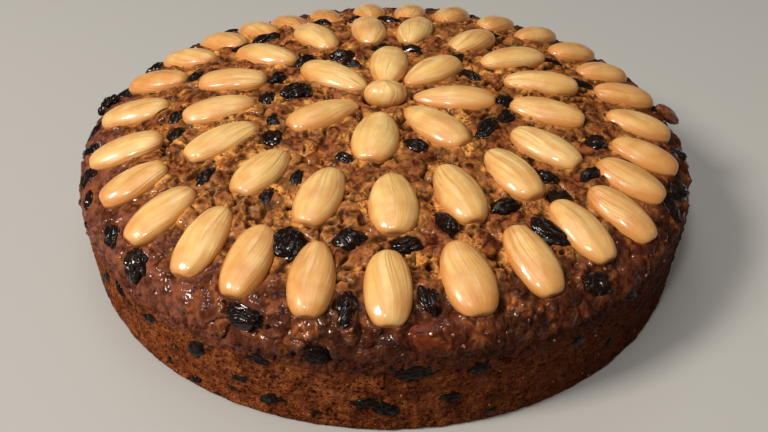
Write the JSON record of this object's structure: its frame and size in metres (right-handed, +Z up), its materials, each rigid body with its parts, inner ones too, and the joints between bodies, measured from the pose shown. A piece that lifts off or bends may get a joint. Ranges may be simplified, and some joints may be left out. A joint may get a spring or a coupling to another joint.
{
  "type": "fruit cake",
  "caption": "Round uncut fruit cake with a domed browned crust, rings of blanched almonds pressed into the top and dried fruit at its rim.",
  "frame": {"origin": "centre of the flat underside the cake rests on", "axes": "+Z up along the cake's axis, -Y towards its front; +X to its right"},
  "size_m": [0.2026, 0.1992, 0.0542],
  "materials": {
    "crust": "browned baked crust over an open crumb, sticky in places",
    "almond": "toasted blanched almond under a thin glaze",
    "raisin": "dark wrinkled dried fruit with a sticky shine",
    "peel": "browned candied peel"
  },
  "bodies": {
    "root": {"cake": "crust", "almond_outer_01": "almond", "almond_outer_02": "almond", "almond_outer_03": "almond", "almond_outer_04": "almond", "almond_outer_05": "almond", "almond_outer_06": "almond", "almond_outer_07": "almond", "almond_outer_08": "almond", "almond_outer_09": "almond", "almond_outer_10": "almond", "almond_outer_11": "almond", "almond_outer_12": "almond", "almond_outer_13": "almond", "almond_outer_14": "almond", "almond_outer_15": "almond", "almond_outer_16": "almond", "almond_outer_17": "almond", "almond_outer_18": "almond", "almond_outer_19": "almond", "almond_outer_20": "almond", "almond_outer_21": "almond", "almond_outer_22": "almond", "almond_outer_23": "almond", "almond_outer_24": "almond", "almond_outer_25": "almond", "almond_outer_26": "almond", "almond_outer_27": "almond", "almond_outer_28": "almond", "almond_outer_29": "almond", "almond_middle_01": "almond", "almond_middle_02": "almond", "almond_middle_03": "almond", "almond_middle_04": "almond", "almond_middle_05": "almond", "almond_middle_06": "almond", "almond_middle_07": "almond", "almond_middle_08": "almond", "almond_middle_09": "almond", "almond_middle_10": "almond", "almond_middle_11": "almond", "almond_middle_12": "almond", "almond_middle_13": "almond", "almond_middle_14": "almond", "almond_middle_15": "almond", "almond_middle_16": "almond", "almond_middle_17": "almond", "almond_inner_01": "almond", "almond_inner_02": "almond", "almond_inner_03": "almond", "almond_inner_04": "almond", "almond_inner_05": "almond", "almond_inner_06": "almond", "almond_inner_07": "almond", "almond_centre": "almond", "raisin_rim_front": "raisin", "raisin_rim_left": "raisin", "raisin_rim_back": "raisin", "raisin_top_left": "raisin", "peel_rim_right": "peel"}
  },
  "joints": []
}
